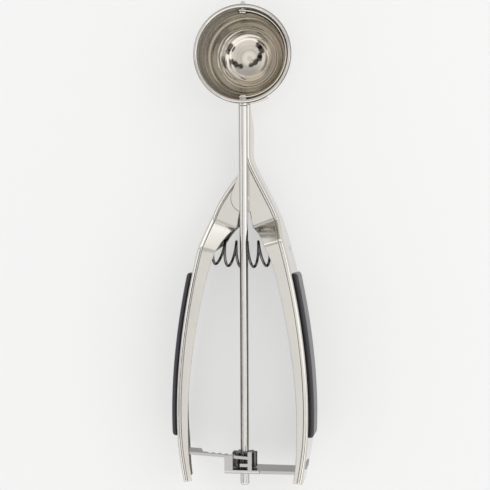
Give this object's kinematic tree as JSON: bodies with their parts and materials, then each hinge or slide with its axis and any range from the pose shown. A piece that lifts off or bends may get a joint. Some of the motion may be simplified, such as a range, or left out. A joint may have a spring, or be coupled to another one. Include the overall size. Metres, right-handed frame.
{
  "type": "cookie scoop",
  "caption": "Squeeze-handle cookie scoop: a round steel bowl on a long neck, two channel handles with soft grips, and a wiper blade turned by a rack and pinion.",
  "frame": {"origin": "under the middle of the whole scoop, on the plane that the bowl's bottom touches", "axes": "+Y along the rod towards the bowl, +Z out of the bowl's mouth, +X towards the handle that carries the bowl"},
  "size_m": [0.06, 0.2024, 0.0282],
  "materials": {
    "polished_steel": "polished stainless steel",
    "bowl_steel": "spun stainless steel, satin rings",
    "gear_steel": "stamped steel, bright",
    "spring_wire": "drawn spring wire",
    "soft_grip": "matte moulded elastomer"
  },
  "bodies": {
    "root": {"bowl": "bowl_steel", "bowl_saddle": "polished_steel", "rod_bush": "polished_steel", "far_pivot_pin": "polished_steel", "fixed_arm": "polished_steel", "fixed_grip": "soft_grip", "pivot_rivet": "polished_steel", "pivot_washer": "gear_steel", "return_spring": "spring_wire", "fixed_spring_seat": "gear_steel", "gear_carrier": "gear_steel", "carrier_rivets": "gear_steel", "thrust_washer": "gear_steel"},
    "moving_side": {"moving_arm": "polished_steel", "moving_grip": "soft_grip", "moving_spring_seat": "gear_steel", "rack": "gear_steel", "rack_rivets": "gear_steel"},
    "wiper": {"rod": "polished_steel", "pinion": "gear_steel", "rod_end_cap": "polished_steel", "wiper_blade": "polished_steel"}
  },
  "joints": [
    {"name": "squeeze", "type": "hinge", "parent": "root", "child": "moving_side", "pos_m": [0, 0.01917, 0.0109], "axis": [0, 0, 1], "range_deg": [0, 6.75], "stiffness_Nm_per_rad": 4, "springref_deg": -2.86, "deforming": ["return_spring"]},
    {"name": "wiper_turn", "type": "hinge", "parent": "root", "child": "wiper", "pos_m": [0, 0, 0.0197], "axis": [0, 1, 0], "range_deg": [0, 162]}
  ],
  "couplings": [
    {"joint": "wiper_turn", "follows": "squeeze", "ratio": 24}
  ]
}
